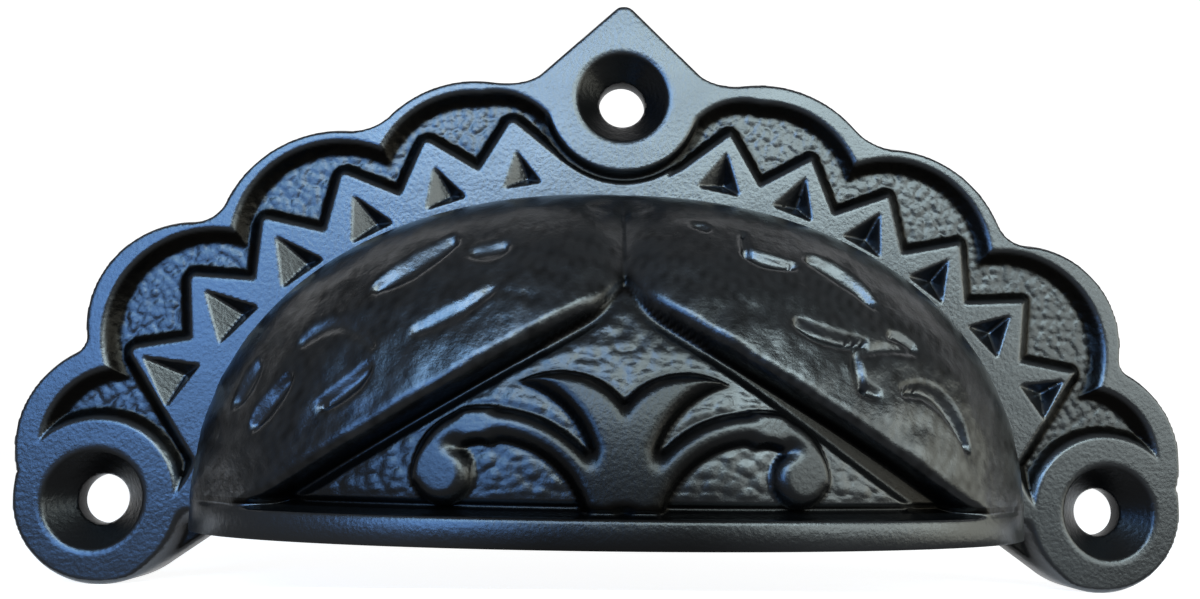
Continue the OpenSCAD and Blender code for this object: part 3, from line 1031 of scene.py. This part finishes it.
def grain_group():
    """Node group: fine grain of a painted casting, as a bump height and a change of roughness."""
    group = bpy.data.node_groups.new("Casting grain", "ShaderNodeTree")
    sockets = (
        ("Scale", "INPUT", GRAIN_SCALE),
        ("Roughness", "INPUT", GRAIN_ROUGHNESS),
        ("Height", "OUTPUT", 0.0),
        ("Roughness", "OUTPUT", 0.0),
    )
    for name, way, value in sockets:
        socket = group.interface.new_socket(name, in_out=way, socket_type="NodeSocketFloat")
        socket.default_value = value
    nodes, links = group.nodes, group.links
    source, sink = nodes.new("NodeGroupInput"), nodes.new("NodeGroupOutput")
    place = nodes.new("ShaderNodeTexCoord")
    fine, broad = nodes.new("ShaderNodeTexNoise"), nodes.new("ShaderNodeTexNoise")
    fine.inputs["Detail"].default_value = GRAIN_DETAIL
    broad.inputs["Scale"].default_value = BROAD_SCALE
    spread = nodes.new("ShaderNodeMapRange")
    spread.inputs["To Min"].default_value = -BROAD_SPREAD
    spread.inputs["To Max"].default_value = BROAD_SPREAD
    total = nodes.new("ShaderNodeMath")
    links.new(place.outputs["Object"], fine.inputs["Vector"])
    links.new(place.outputs["Object"], broad.inputs["Vector"])
    links.new(source.outputs["Scale"], fine.inputs["Scale"])
    links.new(broad.outputs["Fac"], spread.inputs["Value"])
    links.new(spread.outputs["Result"], total.inputs[0])
    links.new(source.outputs["Roughness"], total.inputs[1])
    links.new(fine.outputs["Fac"], sink.inputs["Height"])
    links.new(total.outputs["Value"], sink.inputs["Roughness"])
    return group


def iron(settings):
    """Blackened iron: lighter or darker by the pieces' painted light and shade and mottle, over a
    fine casting grain.
    """
    old = bpy.data.materials.get("Black iron")
    if old:
        return old
    mat = bpy.data.materials.new("Black iron")
    mat.use_nodes = True
    nodes, links = mat.node_tree.nodes, mat.node_tree.links
    shader = nodes["Principled BSDF"]
    shader.inputs["Metallic"].default_value = 1.0
    # Mixes the colours by the pieces' painted light and shade and the hood's random mottle
    mottle_and_painted_light = nodes.new("ShaderNodeAttribute")
    mottle_and_painted_light.attribute_name = "mottle_and_painted_light"
    tone = nodes.new("ShaderNodeMix")
    tone.data_type = "RGBA"
    tone.inputs["A"].default_value = (*settings.hollow, 1)
    tone.inputs["B"].default_value = (*settings.tone, 1)
    grain = nodes.new("ShaderNodeGroup")
    grain.node_tree = bpy.data.node_groups.get("Casting grain") or grain_group()
    grain.inputs["Roughness"].default_value = settings.roughness
    bump = nodes.new("ShaderNodeBump")
    bump.inputs["Strength"].default_value = settings.grain
    bump.inputs["Distance"].default_value = GRAIN_HEIGHT
    links.new(mottle_and_painted_light.outputs["Fac"], tone.inputs["Factor"])
    links.new(tone.outputs["Result"], shader.inputs["Base Color"])
    links.new(grain.outputs["Height"], bump.inputs["Height"])
    links.new(grain.outputs["Roughness"], shader.inputs["Roughness"])
    links.new(bump.outputs["Normal"], shader.inputs["Normal"])
    return mat


class CUPPULL_OT_plate(bpy.types.Operator):
    """Builds the plate with its scalloped rim, fields, teeth and screw holes."""

    bl_idname = "cuppull.plate"
    bl_label = "Build plate"

    def execute(self, context):
        s = context.scene.cuppull_plate
        points, faces = height_solid(
            plate_edge, lambda x, z: plate_depth(x, z, s), PLATE_BOX, s.step / MM
        )
        mottle_and_painted_light = plate_painted_shade(points[:, 0], points[:, 2])
        make_piece("cup_pull_plate", points, faces, mottle_and_painted_light, iron(context.scene.cuppull_iron))
        return {"FINISHED"}


class CUPPULL_OT_hood(bpy.types.Operator):
    """Builds the hood with its leaves, scrolls and lip."""

    bl_idname = "cuppull.hood"
    bl_label = "Build hood"

    def execute(self, context):
        points, faces, mottle_and_painted_light = hood_shell(context.scene.cuppull_hood)
        make_piece("cup_pull_hood", points, faces, mottle_and_painted_light, iron(context.scene.cuppull_iron))
        return {"FINISHED"}


# Stage, in metres: the floor begins just before the plate and ends behind the backdrop
FLOOR_FRONT, FLOOR_BACK, FLOOR_HALF = -0.004, 3, 3
BACKDROP_Y, BACKDROP_HALF, BACKDROP_LOW, BACKDROP_HIGH = 1.5, 4, -1, 4
STAGE_TONE = 0.8
STAGE_ROUGHNESS = 0.9
FLOOR_GLOW, BACKDROP_GLOW = 0.86, 1.0
WORLD_COLOUR = (0.95, 0.98, 1, 1)

# Softboxes: name, place and size in metres, power in watts and colour, all facing one point
LAMP_AIM = (0, 0, 0.015)
SOFTBOXES = (
    ("Key far left", (-0.115, -0.22, 0.13), (0.075, 0.09), 0.19, (0.30, 0.60, 1.0)),
    ("Key left", (-0.0375, -0.22, 0.13), (0.075, 0.09), 0.24, (0.50, 0.73, 1.0)),
    ("Key right", (0.075, -0.22, 0.13), (0.15, 0.09), 0.32, (0.82, 1.0, 1.0)),
    ("Sky", (-0.125, -0.22, 0.045), (0.13, 0.08), 0.20, (0.18, 0.44, 1.0)),
    ("Side", (0.28, -0.07, 0.02), (0.18, 0.16), 0.14, (1.0, 1.0, 0.82)),
    ("Fill", (0.22, -0.20, 0.065), (0.22, 0.13), 0.25, (0.90, 1.0, 0.95)),
)

# Camera: width of the sensor in millimetres, shift of the picture, and nearest distance in metres
SENSOR_WIDTH = 36.0
CAMERA_SHIFT = (-0.02957, 0.03702)
NEAREST = 0.001


def softbox(name, place, size, power, colour):
    """An area lamp at a place, facing the lamps' common point."""
    lamp = bpy.data.lights.new(name, "AREA")
    lamp.shape = "RECTANGLE"
    lamp.size, lamp.size_y = size
    lamp.energy = power
    lamp.color = colour
    obj = bpy.data.objects.new(name, lamp)
    bpy.context.scene.collection.objects.link(obj)
    obj.location = place
    ray = np.array(LAMP_AIM) - np.array(place)
    tilt = math.atan2(math.hypot(ray[0], ray[1]), -ray[2])
    obj.rotation_euler = (tilt, 0, math.atan2(-ray[0], ray[1]))


def white(name, glow):
    """A pale matt surface with a glow where the camera, a reflection or a clear piece sees it."""
    mat = bpy.data.materials.new(name)
    mat.use_nodes = True
    nodes, links = mat.node_tree.nodes, mat.node_tree.links
    shader = nodes["Principled BSDF"]
    shader.inputs["Base Color"].default_value = (STAGE_TONE, STAGE_TONE, STAGE_TONE, 1)
    shader.inputs["Roughness"].default_value = STAGE_ROUGHNESS
    shader.inputs["Specular IOR Level"].default_value = 0.0
    shader.inputs["Emission Color"].default_value = (1, 1, 1, 1)
    path = nodes.new("ShaderNodeLightPath")
    seen, clear, level = (nodes.new("ShaderNodeMath") for _ in range(3))
    seen.operation = clear.operation = "MAXIMUM"
    level.operation = "MULTIPLY"
    level.inputs[1].default_value = glow
    links.new(path.outputs["Is Camera Ray"], seen.inputs[0])
    links.new(path.outputs["Is Glossy Ray"], seen.inputs[1])
    links.new(seen.outputs["Value"], clear.inputs[0])
    links.new(path.outputs["Is Transmission Ray"], clear.inputs[1])
    links.new(clear.outputs["Value"], level.inputs[0])
    links.new(level.outputs["Value"], shader.inputs["Emission Strength"])
    return mat


def plane(name, corners, material):
    """A flat part of the stage."""
    mesh = bpy.data.meshes.new(name)
    mesh.from_pydata(corners, [], [(0, 1, 2, 3)])
    mesh.materials.append(material)
    obj = bpy.data.objects.new(name, mesh)
    bpy.context.scene.collection.objects.link(obj)
    obj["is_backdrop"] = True


class CUPPULL_OT_stage(bpy.types.Operator):
    """Sets the floor, the world, the lamps and the camera."""

    bl_idname = "cuppull.stage"
    bl_label = "Set stage"

    def execute(self, context):
        s, scene = context.scene.cuppull_stage, context.scene
        scene.view_settings.view_transform = "Standard"
        world = bpy.data.worlds.new("Studio")
        scene.world = world
        world.use_nodes = True
        sky = world.node_tree.nodes["Background"]
        sky.inputs["Color"].default_value = WORLD_COLOUR
        sky.inputs["Strength"].default_value = s.ambient

        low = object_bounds()[0][2]
        floor = [
            (-FLOOR_HALF, FLOOR_FRONT, low),
            (FLOOR_HALF, FLOOR_FRONT, low),
            (FLOOR_HALF, FLOOR_BACK, low),
            (-FLOOR_HALF, FLOOR_BACK, low),
        ]
        plane("Floor", floor, white("Pale floor", FLOOR_GLOW))
        backdrop = [
            (-BACKDROP_HALF, BACKDROP_Y, BACKDROP_LOW),
            (BACKDROP_HALF, BACKDROP_Y, BACKDROP_LOW),
            (BACKDROP_HALF, BACKDROP_Y, BACKDROP_HIGH),
            (-BACKDROP_HALF, BACKDROP_Y, BACKDROP_HIGH),
        ]
        plane("Backdrop", backdrop, white("White backdrop", BACKDROP_GLOW))

        for name, place, size, power, colour in SOFTBOXES:
            softbox(name, place, size, power, colour)

        data = bpy.data.cameras.new("Camera")
        data.sensor_width, data.lens = SENSOR_WIDTH, s.focal
        data.shift_x, data.shift_y = CAMERA_SHIFT
        data.clip_start = NEAREST
        camera = bpy.data.objects.new("Camera", data)
        scene.collection.objects.link(camera)
        camera.location = s.eye
        camera.rotation_euler = s.turn
        scene.camera = camera
        return {"FINISHED"}


class CUPPULL_PT_panel(bpy.types.Panel):
    """Buttons and settings of the cup pull."""

    bl_label = "Cup Pull"
    bl_idname = "CUPPULL_PT_panel"
    bl_space_type = "VIEW_3D"
    bl_region_type = "UI"
    bl_category = "Cup Pull"

    def draw(self, context):
        layout, scene = self.layout, context.scene
        for name in SETTINGS:
            group, box = getattr(scene, name), layout.box()
            for setting in group.__annotations__:
                box.prop(group, setting)
        for cls in OPERATORS:
            layout.operator(cls.bl_idname)


OPERATORS = (CUPPULL_OT_plate, CUPPULL_OT_hood, CUPPULL_OT_stage)
SETTINGS = {
    "cuppull_plate": PlateSettings,
    "cuppull_hood": HoodSettings,
    "cuppull_iron": IronSettings,
    "cuppull_stage": StageSettings,
}


def register():
    """Registers the classes and puts the settings on the scene."""
    for cls in (*SETTINGS.values(), *OPERATORS, CUPPULL_PT_panel):
        bpy.utils.register_class(cls)
    for name, cls in SETTINGS.items():
        setattr(bpy.types.Scene, name, bpy.props.PointerProperty(type=cls))


def unregister():
    """Takes the settings and the classes away again."""
    for name in SETTINGS:
        delattr(bpy.types.Scene, name)
    for cls in reversed((*SETTINGS.values(), *OPERATORS, CUPPULL_PT_panel)):
        bpy.utils.unregister_class(cls)


def main():
    """Builds the pieces and the stage."""
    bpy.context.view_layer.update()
    register()
    bpy.ops.cuppull.plate()
    bpy.ops.cuppull.hood()
    bpy.ops.cuppull.stage()


if __name__ == "__main__":
    main()
